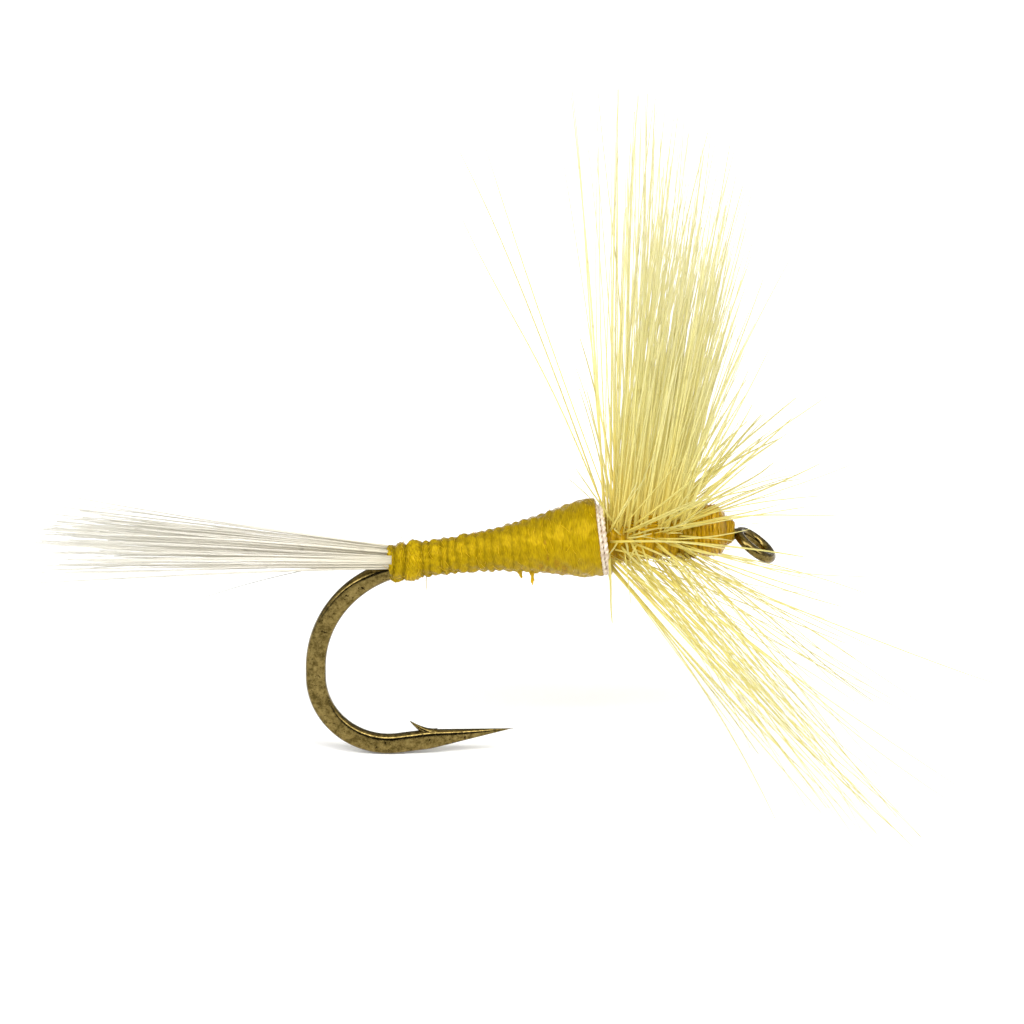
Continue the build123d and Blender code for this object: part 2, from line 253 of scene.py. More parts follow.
def tube_faces(rows, columns, first=0, looped=False):
    """Faces of a tube whose points run round it and then along it: four-cornered cells, and at each end one
    flat face with all the corners of its ring. A looped tube joins its last row to its first, so it has no
    ends."""
    i, j = np.meshgrid(np.arange(rows if looped else rows - 1), np.arange(columns), indexing="ij")
    k, after = (j + 1) % columns, (i + 1) % rows
    cells = np.stack([i * columns + j, i * columns + k, after * columns + k, after * columns + j], -1)
    cells = cells.reshape(-1, 4)
    if looped:
        return [cells + first]
    ring = np.arange(columns)
    ends = np.stack([ring[::-1], (rows - 1) * columns + ring])
    return [cells + first, ends + first]


def tube_points(path, across, up, half_w, half_h, columns, flat):
    """A tube along path. Round it at angle a the point is up * half_h * sin(a) + across * x, where x is
    half_h * cos(a) brought in softly to half_w on the two sides, the more squarely for a greater flat."""
    a = 2 * np.pi * np.arange(columns) / columns
    x = half_h[:, None] * np.cos(a)
    pressed = x / (1 + (np.abs(x) / half_w[:, None]) ** flat) ** (1 / flat)
    y = half_h[:, None] * np.sin(a)
    return path[:, None] + across[:, None] * pressed[..., None] + up[:, None] * y[..., None]


def arc(centre, radius, start, end, step):
    """Points on an arc in the upright middle plane, from angle start to end, at about step apart."""
    n = max(3, int(abs(end - start) * radius / step))
    a = np.linspace(start, end, n)
    return centre + radius * np.stack([np.cos(a), np.zeros(n), np.sin(a)], -1)


def ease(x, start, end):
    """0 before start and 1 after end, with a smooth rise between."""
    t = np.clip((x - start) / (end - start), 0, 1)
    return t * t * (3 - 2 * t)


hook_low = np.array(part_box("hook"))[0]
shank_rear, shank_front = spindle("thread_base")
forward = unit(shank_front - shank_rear)
upward = np.array([-forward[2], 0, forward[0]])
sideways = np.array([0, 1.0, 0])
pitch = math.atan2(forward[2], forward[0])
eye = next(m for m in frame["record"]["mounts"] if m["name"] == "eye")
ring_normal = unit(eye["axis"])
ring_run = np.array([ring_normal[2], 0, -ring_normal[0]])
eye_joint = np.array(eye["pos_m"]) - ring_run * eye_ring_r

lower_centre = np.array([hook_low[0] + wire_r + lower_bend_r, 0, hook_low[2] + wire_r + lower_bend_r])
heel_top = lower_centre + [-lower_bend_r, 0, heel_len]
upper_centre = heel_top + [upper_bend_r, 0, 0]
spear_run = np.array([math.cos(spear_pitch), 0, math.sin(spear_pitch)])
upper_arc = arc(upper_centre, upper_bend_r, math.pi / 2 + pitch, math.pi, wire_step)
lower_arc = arc(lower_centre, lower_bend_r, math.pi, 1.5 * math.pi + spear_pitch, wire_step)
shank_line = np.linspace(eye_joint, upper_arc[0], 60)[:-1]
spear_line = lower_arc[-1] + spear_run * np.linspace(0, spear_len, 50)[1:, None]
wire_path = np.concatenate([shank_line, upper_arc[:-1], lower_arc, spear_line])

wire_across = np.tile(sideways, (len(wire_path), 1))
wire_up = np.cross(unit(np.gradient(wire_path, axis=0)), wire_across)
wire_at = np.concatenate([[0], np.cumsum(np.linalg.norm(np.diff(wire_path, axis=0), axis=1))])
bend_start = np.linalg.norm(upper_arc[0] - eye_joint)
point_start = wire_at[-1] - point_len

# Half the wire's height and width at each place: thinned to the eye, forged round the bend, and ground to the
# point.
forged = ease(wire_at, bend_start + forging_start, bend_start + forging_full)
forged = forged * (1 - ease(wire_at, point_start, wire_at[-1]))
to_point = np.clip((wire_at - point_start) / point_len, 0, 1)
point_left = np.sqrt(np.clip(1 - to_point, 0, 1)) * (1 - to_point) ** 0.45
wire_h = (wire_r + (bend_h - wire_r) * forged) * point_left
wire_h *= 1 - (1 - eye_wire_r / wire_r) * (1 - ease(wire_at, 0, eye_taper_len))
wire_h = np.maximum(wire_h, needle_r)
wire_w = wire_h * (unpressed - (unpressed - bend_w / bend_h) * forged)
wire_points = tube_points(wire_path, wire_across, wire_up, wire_w, wire_h, columns=48, flat=3.0)

# The ring is a little thinner where its end was butted against the shank.
ring_angle = np.linspace(0, 2 * np.pi, 64, endpoint=False)
ring_out = ring_run * np.cos(ring_angle)[:, None] + sideways * np.sin(ring_angle)[:, None]
ring_thin = eye_wire_r * (0.97 + 0.05 * np.cos(ring_angle - 0.4))
ring_points = tube_points(eye_ring_r * ring_out, ring_out, np.tile(ring_normal, (64, 1)),
                          ring_thin * unpressed, ring_thin, columns=24, flat=4.0)

# The barb leaves the spear at a slant and curls up away from it, thinning as it goes.
barb_root = lower_arc[-1] + spear_run * (spear_len - point_len + barb_from_point) + upward * barb_sink
barb_t = np.linspace(0, 1, 12)
barb_rise = (0.10 * barb_t + 0.33 * barb_t ** 1.8) * MM
barb_path = barb_root - spear_run * barb_len * barb_t[:, None] + upward * barb_rise[:, None]
barb_h = barb_root_h * (1 - barb_t) ** 0.9 + barb_tip_h
barb_points = tube_points(barb_path, np.tile(sideways, (12, 1)),
                          np.cross(unit(np.gradient(barb_path, axis=0)), sideways), barb_h * 1.3, barb_h,
                          columns=12, flat=4.0)

hook_parts = [wire_points, ring_points, barb_points]
hook_firsts = np.cumsum([0] + [p.shape[0] * p.shape[1] for p in hook_parts])
hook_faces = [
    *tube_faces(*wire_points.shape[:2], first=hook_firsts[0]),
    *tube_faces(*ring_points.shape[:2], first=hook_firsts[1], looped=True),
    *tube_faces(*barb_points.shape[:2], first=hook_firsts[2]),
]
hook = piece_from("hook_wire", np.concatenate([p.reshape(-1, 3) for p in hook_parts]), *hook_faces)

# Bronze lacquer over steel: a dark olive gold, mirror-like along the rounded edges, clouded and freckled on
# the flats, with 9 clouds and 14 freckles to the millimetre.
bronze, bronze_shader = new_material("bronzed_steel", 0.24, Metallic=1.0)
tree = bronze.node_tree
where = add_node(tree, "ShaderNodeTexCoord").outputs["Object"]
cloud = add_node(tree, "ShaderNodeTexNoise", [("Vector", where)], Scale=9 / MM, Detail=6.0, Roughness=0.72)
fleck = add_node(tree, "ShaderNodeTexNoise", [("Vector", where)], Scale=14 / MM, Detail=2.0)
tone = add_node(tree, "ShaderNodeValToRGB", [("Fac", cloud.outputs["Fac"])])
dark_stop, light_stop = tone.color_ramp.elements
dark_stop.position, dark_stop.color = 0.38, colour("#4c401e")
light_stop.position, light_stop.color = 0.63, colour("#877545")
speck = add_node(tree, "ShaderNodeValToRGB", [("Fac", fleck.outputs["Fac"])])
dark_stop, light_stop = speck.color_ramp.elements
dark_stop.position, dark_stop.color = 0.27, colour("#3a2f1a")
light_stop.position, light_stop.color = 0.36, (1, 1, 1, 1)
mixed = add_node(tree, "ShaderNodeMix", data_type="RGBA", blend_type="MULTIPLY")
mixed.inputs["Factor"].default_value = 1.0
tree.links.new(mixed.inputs[6], tone.outputs["Color"])
tree.links.new(mixed.inputs[7], speck.outputs["Color"])
tree.links.new(bronze_shader.inputs["Base Color"], mixed.outputs[2])
rough = add_node(tree, "ShaderNodeMapRange", [("Value", cloud.outputs["Fac"])], To_Min=0.09, To_Max=0.24)
tree.links.new(bronze_shader.inputs["Roughness"], rough.outputs["Result"])
pits = add_node(tree, "ShaderNodeBump", [("Height", cloud.outputs["Fac"])], Strength=0.35,
                Distance=0.012 * MM)
tree.links.new(bronze_shader.inputs["Normal"], pits.outputs["Normal"])
hook.data.materials.append(bronze)
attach(hook, "root")
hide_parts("hook")

# ---- thread under the dressing ----
# The jam turns, the underbody and the two bunches of butts are covered by the floss and the thorax, and stay
# as the frame has them, in the thread's and the fibres' own finishes.

# Waxed tying thread: ochre and nearly matt, with its twist as a fine mottle, 22 to the millimetre.
ochre, ochre_shader = new_material("waxed_thread", 0.42, Specular_IOR_Level=0.1)
tree = ochre.node_tree
where = add_node(tree, "ShaderNodeTexCoord").outputs["Object"]
twist = add_node(tree, "ShaderNodeTexNoise", [("Vector", where)], Scale=22 / MM, Detail=3.0)
tone = add_node(tree, "ShaderNodeValToRGB", [("Fac", twist.outputs["Fac"])])
dark_stop, light_stop = tone.color_ramp.elements
dark_stop.position, dark_stop.color = 0.30, colour("#7a5c00")
light_stop.position, light_stop.color = 0.70, colour("#a88404")
tree.links.new(ochre_shader.inputs["Base Color"], tone.outputs["Color"])

# Cut ends of feather fibre: dull cream, lighter and darker from fibre to fibre, 15 to the millimetre.
pale, pale_shader = new_material("pale_butts", 0.6)
tree = pale.node_tree
where = add_node(tree, "ShaderNodeTexCoord").outputs["Object"]
streak = add_node(tree, "ShaderNodeTexNoise", [("Vector", where)], Scale=15 / MM)
tone = add_node(tree, "ShaderNodeValToRGB", [("Fac", streak.outputs["Fac"])])
dark_stop, light_stop = tone.color_ramp.elements
dark_stop.color, light_stop.color = colour("#c9bf92"), colour("#f0ecd6")
tree.links.new(pale_shader.inputs["Base Color"], tone.outputs["Color"])
for node, finish in (("thread_base", ochre), ("underbody", ochre), ("tail_butts", pale),
                     ("wing_butts", pale)):
    frame["nodes"][node].data.materials.clear()
    frame["nodes"][node].data.materials.append(finish)

# ---- tail ----
# A bunch of stiff off-white hackle fibres, laid along the top and sides of the shank and splaying as they
# leave it. The lashing holds them down.

tail_count = 120
tail_tuck = 0.10 * MM           # how far inside the lashing the fibres start
tail_half_width = 0.42 * MM
tail_longest = 0.99             # the longest fibre's share of the tail's reach
tail_uneven = 0.22              # and how much smaller the shortest fibre's share is
tail_widths = (0.050, 0.085)    # in mm, of the finest fibre and the stoutest


def bunch(name, foot, run, length, width, bend, shade, rows=12, columns=4, thin=0.6, tip=0.30, seed=1):
    """A bunch of fibres. Each one's line is foot + length * (run * t + bend * t * t) plus a slight waver, and
    its flattened section narrows as (1 - t) ** 0.6 towards the tip. Attributes: along is t, and shade is one
    value each."""
    chance = np.random.default_rng(seed)
    count = len(foot)
    t = np.linspace(0, 1, rows)[None, :, None]
    waver = chance.normal(0, 1, (count, 1, 3)) * np.sin(np.pi * t * chance.uniform(0.8, 2.2, (count, 1, 1)))
    reach = length[:, None, None]
    line = foot[:, None] + reach * (run[:, None] * t + bend[:, None] * t * t + 0.006 * waver * t)
    tangent = unit(np.gradient(line, axis=1))
    face = chance.normal(0, 1, (count, 1, 3))
    flat = unit(face - (face * tangent).sum(-1, keepdims=True) * tangent)
    narrow = np.cross(tangent, flat)
    half = 0.5 * width[:, None, None] * (tip + (1 - tip) * (1 - t) ** 0.6)
    a = 2 * np.pi * (np.arange(columns) + 0.5) / columns
    ring = flat[:, :, None] * np.cos(a)[:, None] + narrow[:, :, None] * (thin * np.sin(a))[:, None]
    points = line[:, :, None] + half[:, :, None] * ring
    firsts = (np.arange(count) * rows * columns)[:, None, None]
    faces = [(each[None] + firsts).reshape(-1, each.shape[1]) for each in tube_faces(rows, columns)]
    made = piece_from(name, points.reshape(-1, 3), *faces)
    for label, values in (("along", t[..., 0, None]), ("shade", shade[:, None, None])):
        layer = made.data.attributes.new(label, "FLOAT", "POINT")
        values = np.broadcast_to(values, (count, rows, columns))
        layer.data.foreach_set("value", np.ascontiguousarray(values, np.float32).ravel())
    return made


def fibre_material(name, root, middle, tip, dark, cover, glow):
    """Feather fibre: a colour that runs from root to tip, each fibre a little lighter or darker than the
    next, with freckles of dark about 0.4 mm apart. It is keratin, so it has a low soft shine, and it is thin
    enough to let light through: cover is the share that it stops, and a faint glow stands in for the light
    that is passed from fibre to fibre, most so where they crowd, near the root."""
    made, shader = new_material(name, 0.42, Specular_IOR_Level=0.3, Alpha=cover)
    tree = made.node_tree
    along = add_node(tree, "ShaderNodeAttribute", attribute_name="along")
    run = add_node(tree, "ShaderNodeValToRGB", [("Fac", along.outputs["Fac"])])
    root_stop, tip_stop = run.color_ramp.elements
    root_stop.color, tip_stop.color = colour(root), colour(tip)
    run.color_ramp.elements.new(0.35).color = colour(middle)
    shade = add_node(tree, "ShaderNodeAttribute", attribute_name="shade")
    where = add_node(tree, "ShaderNodeTexCoord").outputs["Object"]
    freckle = add_node(tree, "ShaderNodeTexNoise", [("Vector", where)], Scale=2.6 / MM, Detail=2.0)
    dim = add_node(tree, "ShaderNodeMapRange", [("Value", freckle.outputs["Fac"])],
                   From_Min=0.20, From_Max=0.36, To_Min=0.55, To_Max=0.0)
    darker = add_node(tree, "ShaderNodeMix", data_type="RGBA")
    tree.links.new(darker.inputs["Factor"], dim.outputs["Result"])
    tree.links.new(darker.inputs[6], run.outputs["Color"])
    darker.inputs[7].default_value = colour(dark)
    bright = add_node(tree, "ShaderNodeHueSaturation",
                      [("Color", darker.outputs[2]), ("Value", shade.outputs["Fac"])])
    tree.links.new(shader.inputs["Base Color"], bright.outputs["Color"])
    tree.links.new(shader.inputs["Emission Color"], bright.outputs["Color"])
    crowded = add_node(tree, "ShaderNodeMapRange", [("Value", along.outputs["Fac"])], To_Min=glow,
                       To_Max=0.7 * glow)
    tree.links.new(shader.inputs["Emission Strength"], crowded.outputs["Result"])
    return made


def scatter(count, seed):
    """A seeded source of chance, and an even spread of numbers from 0 to 1 in a shuffled order."""
    chance = np.random.default_rng(seed)
    return chance, (chance.permutation(count) + 0.5) / count


tail_root = np.array(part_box("tail_lashing"))[0] * [1, 0, 0] + [tail_tuck, 0, 0]
tail_root[2] = eye_joint[2] + (tail_root[0] - eye_joint[0]) * math.tan(pitch)
tail_reach = tail_root[0] - cad_box[0].x
chance, spread = scatter(tail_count, 5)
tail_side = 2 * spread - 1
tail_depth = chance.uniform(0, 1, tail_count)
# In mm above the shank's line: the bunch is heaped up in the middle and low at its sides.
tail_rise = 0.12 + 0.40 * tail_depth * np.sqrt(1 - 0.8 * tail_side ** 2)
tail_foot = tail_root + np.stack([np.zeros(tail_count), tail_side * tail_half_width, tail_rise * MM], -1)
tail_run = unit(np.stack([
    -np.ones(tail_count),
    0.14 * tail_side + chance.normal(0, 0.015, tail_count),
    0.062 + 0.22 * (tail_rise - 0.25) + chance.normal(0, 0.010, tail_count)], -1))
tail_droop = -0.004 + chance.normal(0, 0.012, tail_count)
tail_bend = np.stack([np.zeros(tail_count), 0.02 * tail_side, tail_droop], -1)
tail_length = tail_reach * (tail_longest - tail_uneven * chance.uniform(0, 1, tail_count) ** 1.2)
tail_width = chance.uniform(*tail_widths, tail_count) * MM
tail = bunch("tail_hackle_fibres", tail_foot, tail_run, tail_length, tail_width, tail_bend,
             chance.uniform(0.90, 1.0, tail_count), seed=6)
tail.data.materials.append(
    fibre_material("white_hackle_fibre", "#d0c9b4", "#dad5c8", "#d4d1c6", "#8f897a", cover=0.86, glow=0.16))
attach(tail, "root")
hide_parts("tail_fibres")

# One fibre of the tail that broke loose and curves down below the rest. It is given shade 0.45, far darker
# than the rest of the tail, as painted shade where it hangs below them.
stray_foot = tail_root + np.array([[-1.5, -0.30, 0.16]]) * MM
stray = bunch("tail_stray_fibre", stray_foot, unit([[-1, -0.05, -0.16]]), length=np.array([3.7]) * MM,
              width=np.array([0.042]) * MM, bend=np.array([[0, -0.02, -0.10]]), shade=np.array([0.45]),
              rows=20, seed=7)
stray.data.materials.append(tail.data.materials[0])
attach(stray, "root")

# ---- body ----
# Gold floss, a flat untwisted strand of many fine filaments, wound in close turns from the tail forwards over
# a tapering underbody. Two fat turns lash the tail; the body swells towards the wing.

body_stops = [0, 0.20, 0.40, 0.55, 0.70, 0.84, 0.94, 1.0]
body_radii = np.array([0.44, 0.46, 0.515, 0.615, 0.735, 0.88, 0.965, 0.945]) * MM
body_turns = 20
floss_groove = 0.058 * MM
lashing_radii = np.array([0.47, 0.50, 0.49, 0.49, 0.46]) * MM
lashing_half_len = 0.40 * MM
lashing_groove = 0.10 * MM
end_tuck = 0.06 * MM            # how far a winding's end face turns in towards its core


def winding(name, rear, front, stops, radii, turns, groove, around, per_turn, oval=1.0, rough=0.010 * MM,
            smooth_front=0.0, seed=0):
    """Turns of thread side by side on a core, as one skin.

    A share s of the way from rear to front, and at an angle a round the axis, the strand's phase is
    turns * s + a / 2 pi with uneven turns, and the radius is radius(s) - groove * (1 - bead), where bead is
    the round top of the strand at that phase, with lumps that differ from turn to turn and a fine roughness;
    smooth_front is how far the grooves have faded by the front end. UV map strand: phase, and a / 2 pi.
    Attribute bead: 0 in a groove, 1 on top."""
    axis = unit(front - rear)
    up = unit(np.array([-axis[2], 0, axis[0]])) if abs(axis[2]) < 0.8 else np.array([1.0, 0, 0])
    across = np.cross(axis, up)
    rows = int(turns * per_turn) + 1
    s = np.linspace(0, 1, rows)[:, None]
    a = np.pi * 0.85 + 2 * np.pi * np.arange(around) / around
    turn_share = np.arange(around) / around
    knots = np.arange(int(turns) + 3) + np.random.default_rng(seed).uniform(-0.24, 0.24, int(turns) + 3)
    phase = np.interp(turns * s + turn_share, np.arange(len(knots)), knots)
    phase = phase + 0.10 * np.sin(a + seed) + 0.07 * np.sin(3 * a + 1.3 * turns * s)
    f = 2 * (phase % 1) - 1
    bead = 0.5 * (np.sqrt(1 - 0.92 * f * f) - 0.283) / 0.717 + 0.25 * (1 + np.cos(np.pi * f))
    turn = np.floor(phase)
    lumpy = 1 + 0.30 * np.sin(2 * a + 2.6 * turn + seed) + 0.18 * np.sin(5 * a - 1.9 * turn)
    fade = 1 - smooth_front * s
    bead = 1 - (1 - bead) * fade
    radius = np.interp(s, stops, radii) - groove * (1 - bead * (1 + (lumpy - 1) * fade) * 0.85)
    radius = radius + rough * (np.sin(7 * a + 19 * s + seed) * np.sin(31 * s * turns / 9 + 3 * a)
                               + 0.6 * np.sin(11 * a - 47 * s))

    # Two more rings at each end round its edge off and turn it in to the core.
    edge_ring, core_ring = 0.93, 0.55
    radius = np.concatenate([radius[:1] * core_ring, radius[:1] * edge_ring, radius, radius[-1:] * edge_ring,
                             radius[-1:] * core_ring])
    tuck = end_tuck / np.linalg.norm(front - rear)
    s = np.concatenate([[[tuck]], [[0.0]], tuck * 0.6 + s * (1 - tuck * 1.2), [[1.0]], [[1 - tuck]]])
    rows += 4
    spoke = up * np.cos(a)[:, None] + across * oval * np.sin(a)[:, None]
    points = (rear + s * (front - rear))[:, None] + radius[..., None] * spoke
    made = piece_from(name, points.reshape(-1, 3), *tube_faces(rows, around))

    phase = np.concatenate([phase[:1], phase[:1], phase, phase[-1:], phase[-1:]])
    bead = np.concatenate([bead[:1] * 0, bead[:1], bead, bead[-1:], bead[-1:] * 0])
    after = np.concatenate([phase[:, 1:], phase[:, :1] + 1], 1)
    i, j = np.meshgrid(np.arange(rows - 1), np.arange(around), indexing="ij")
    u = np.stack([phase[i, j], after[i, j], after[i + 1, j], phase[i + 1, j]], -1)
    v = np.stack([j, j + 1, j + 1, j], -1) / around
    uv = np.concatenate([np.stack([u, v], -1).reshape(-1, 2), np.zeros((2 * around, 2))])
    made.data.uv_layers.new(name="strand").data.foreach_set("uv", uv.astype(np.float32).ravel())
    layer = made.data.attributes.new("bead", "FLOAT", "POINT")
    layer.data.foreach_set("value", bead.astype(np.float32).ravel())
    return made


def strand_material(name, deep, mid, light, filaments, lengthwise, roughness, bump, **settings):
    """Wound thread or floss. Filaments run along the strand, so the pattern is fine across it, at so many
    filaments to a turn's width, and long along it, at so many changes lengthwise to a turn. Grooves between
    turns are darkened as painted shade, and a few filaments catch the light. bump is how far they stand out."""
    made, shader = new_material(name, roughness, **settings)
    tree = made.node_tree
    strand = add_node(tree, "ShaderNodeUVMap", uv_map="strand")
    stretch = add_node(tree, "ShaderNodeMapping", [("Vector", strand.outputs["UV"])])
    stretch.inputs["Scale"].default_value = (filaments, lengthwise, 1)
    stretch.inputs["Rotation"].default_value = (0, 0, 0.05)
    hair = add_node(tree, "ShaderNodeTexNoise", [("Vector", stretch.outputs["Vector"])], Scale=1.0,
                    Detail=4.0, Roughness=0.65)
    where = add_node(tree, "ShaderNodeTexCoord").outputs["Object"]
    patch = add_node(tree, "ShaderNodeTexNoise", [("Vector", where)], Scale=0.9 / MM, Detail=3.0)
    tone = add_node(tree, "ShaderNodeValToRGB", [("Fac", hair.outputs["Fac"])])
    deep_stop, light_stop = tone.color_ramp.elements
    deep_stop.position, deep_stop.color = 0.28, colour(deep)
    light_stop.position, light_stop.color = 0.72, colour(light)
    tone.color_ramp.elements.new(0.5).color = colour(mid)
    bead = add_node(tree, "ShaderNodeAttribute", attribute_name="bead")
    # Painted shade: where the bead attribute is low, in the grooves between turns, the colour is darkened to
    # 0.6.
    groove_shade = add_node(tree, "ShaderNodeMapRange", [("Value", bead.outputs["Fac"])], From_Max=0.75, To_Min=0.60,
                    To_Max=1.0)
    cloudy = add_node(tree, "ShaderNodeMapRange", [("Value", patch.outputs["Fac"])], From_Min=0.3,
                      From_Max=0.7, To_Min=0.86, To_Max=1.10)
    both = add_node(tree, "ShaderNodeMath", [(0, groove_shade.outputs["Result"]), (1, cloudy.outputs["Result"])],
                    operation="MULTIPLY")
    final = add_node(tree, "ShaderNodeHueSaturation",
                     [("Color", tone.outputs["Color"]), ("Value", both.outputs[0])])
    tree.links.new(shader.inputs["Base Color"], final.outputs["Color"])
    ridges = add_node(tree, "ShaderNodeBump", [("Height", hair.outputs["Fac"])], Strength=0.9, Distance=bump)
    tree.links.new(shader.inputs["Normal"], ridges.outputs["Normal"])
    return made


def fuzz(name, base, count, length, width, lift, seed, host):
    """Loose filaments on a winding: each starts at a chance place on the piece, runs nearly along the strand,
    which goes round the line host, and lifts a little off the surface."""
    chance = np.random.default_rng(seed)
    mesh = base.data
    points = np.empty(len(mesh.vertices) * 3)
    mesh.vertices.foreach_get("co", points)
    normals = np.empty(len(mesh.vertices) * 3)
    mesh.vertices.foreach_get("normal", normals)
    pick = chance.integers(0, len(mesh.vertices), count)
    foot, out = points.reshape(-1, 3)[pick], normals.reshape(-1, 3)[pick]
    round_it = unit(np.cross(host, out) + 1e-6) * chance.choice([-1, 1], (count, 1))
    run = round_it + host * chance.normal(0, 0.45, (count, 1)) + out * chance.uniform(0.05, lift, (count, 1))
    return bunch(name, foot - out * 0.01 * MM, unit(run), chance.uniform(0.4, 1.0, count) * length,
                 np.full(count, width), -0.35 * out + chance.normal(0, 0.12, (count, 3)),
                 chance.uniform(0.9, 1.1, count), rows=7, columns=3, tip=0.5, thin=1.0, seed=seed)


# Rayon floss: a deep yellow gold with a sheen of its own colour, which the share of metal gives, streaked by
# its filaments, with painted shade darkening the grooves.
floss = strand_material("gold_floss", "#866c00", "#ac8e00", "#c8ac08", filaments=11, lengthwise=30,
                        roughness=0.24, bump=0.034 * MM, Metallic=0.34, Specular_IOR_Level=0.10)
body_rear, body_front = spindle("body_floss")
body_line = unit(body_front - body_rear)
body = winding("wound_floss_body", body_rear - body_line * 0.05 * MM, body_front, body_stops, body_radii,
               body_turns, floss_groove, around=190, per_turn=15, rough=0.014 * MM, smooth_front=0.72, seed=2)
body.data.materials.append(floss)
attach(body, "root")
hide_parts("body_floss")

lashing_mid = np.array(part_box("tail_lashing")).mean(0)
lashing = winding("tail_lashing_turns", lashing_mid - body_line * lashing_half_len,
                  lashing_mid + body_line * lashing_half_len, [0, 0.3, 0.5, 0.8, 1], lashing_radii,
                  2.15, lashing_groove, around=150, per_turn=30, seed=4)
lashing.data.materials.append(floss)
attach(lashing, "root")
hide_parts("tail_lashing")

# Single filaments of the floss: the same gold without the sheen, as they catch too little light to show one.
loose, loose_shader = new_material("loose_filament", 0.4, Specular_IOR_Level=0.1)
tree = loose.node_tree
shade = add_node(tree, "ShaderNodeAttribute", attribute_name="shade")
tinted = add_node(tree, "ShaderNodeHueSaturation", [("Value", shade.outputs["Fac"])], Color=colour("#c09c06"))
tree.links.new(loose_shader.inputs["Base Color"], tinted.outputs["Color"])
for name, base, count in (("body_fuzz", body, 260), ("lashing_fuzz", lashing, 70)):
    hairs = fuzz(name, base, count, length=0.34 * MM, width=0.014 * MM, lift=0.45, seed=11, host=body_line)
    hairs.data.materials.append(loose)
    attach(hairs, "root")

# The end of the floss stands out under the body as a small pointed nib of a few clumped filaments: where each
# starts, in mm from the top of the nib, which way it points, how long it is and how wide.
nib_feet = np.array([[0.0, -0.16, 0.02], [0.05, -0.20, 0.03], [-0.05, -0.13, 0.02], [-0.30, -0.15, 0.0],
                     [-0.36, -0.12, 0.0], [0.02, -0.18, 0.0]])
nib_runs = [[0.1, -0.2, -1], [-0.2, -0.2, -1], [0.4, -0.2, -1], [0.3, -0.1, -1], [0.6, -0.1, -0.8],
            [0.0, -0.3, -1]]
nib_lengths = np.array([0.36, 0.34, 0.32, 0.22, 0.24, 0.36]) * MM
nib_widths = np.array([0.16, 0.12, 0.12, 0.14, 0.10, 0.10]) * MM
nib_low, nib_high = np.array(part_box("floss_nib"))
nib_top = np.array([(nib_low[0] + nib_high[0]) / 2, 0, nib_high[2] + 0.10 * MM])
nib = bunch("floss_nib_end", nib_top + nib_feet * MM, unit(nib_runs), nib_lengths, nib_widths,
            np.zeros((6, 3)), np.array([1.0, 1.05, 0.95, 0.95, 1.0, 1.1]), columns=6, tip=0.1, seed=3)
nib.data.materials.append(loose)
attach(nib, "root")
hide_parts("floss_nib")

# One filament hangs loose behind the nib, from just inside the floss.
tag_low, tag_high = np.array(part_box("floss_tag"))
tag_sink = 0.05 * MM
tag_foot = np.array([[(tag_low[0] + tag_high[0]) / 2, -0.05 * MM, tag_high[2] + tag_sink]])
tag = bunch("floss_tag_filament", tag_foot, unit([[0.0, 0.0, -1.0]]),
            length=np.array([tag_high[2] - tag_low[2] + tag_sink]), width=np.array([0.028 * MM]),
            bend=np.array([[0.03, 0, 0]]), shade=np.array([0.8]), seed=8)
tag.data.materials.append(loose)
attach(tag, "root")
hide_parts("floss_tag")

# ---- thorax ----
# Ochre tying thread over the butts of the wings, wound less evenly than the body and seen through the hackle.
# It lies higher than the shank, as the butts are on top of it.

thorax_radii = np.array([0.60, 0.55, 0.58]) * MM
thorax_lift = 0.16 * MM
head_cover = (0.055 * MM, 0.040 * MM)       # how far inside its box the head's rear and front edges are

# Tying thread: a duller gold than the floss, as it is twisted and waxed, so it has almost no sheen.
thread = strand_material("wound_thread", "#8a6800", "#b48c00", "#d4b010", filaments=9, lengthwise=16,
                         roughness=0.34, bump=0.010 * MM, Specular_IOR_Level=0.15)
head_low, head_high = np.array(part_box("head_thread"))
head_rear_x, head_front_x = head_low[0] + head_cover[0], head_high[0] - head_cover[1]


def on_shank(x, lift=thorax_lift):
    """The point at x on the shank's own line, raised by lift square to that line."""
    base = eye_joint + forward * (x - eye_joint[0]) / forward[0]
    return base + upward * lift


thorax = winding("thorax_turns", on_shank(body_front[0] - 0.15 * MM), on_shank(head_rear_x + 0.05 * MM),
                 [0, 0.5, 1], thorax_radii, 11, 0.06 * MM, around=120, per_turn=14, rough=0.02 * MM, seed=5)
thorax.data.materials.append(thread)
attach(thorax, "root")
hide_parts("thorax_thread")

# ---- wings ----
# Two clumps of pale straw hackle fibres stood upright on the thorax and divided to left and right. Thread
# turns round their foot hold them up.

wing_x = -2.60 * MM
wing_lift = 0.50 * MM
wing_root = on_shank(wing_x, wing_lift)
wing_top = cad_box[1].z
straw = fibre_material("straw_hackle_fibre", "#d6c25c", "#ddd58e", "#dad4a2", "#8d7a28", cover=0.76,
                       glow=0.36)


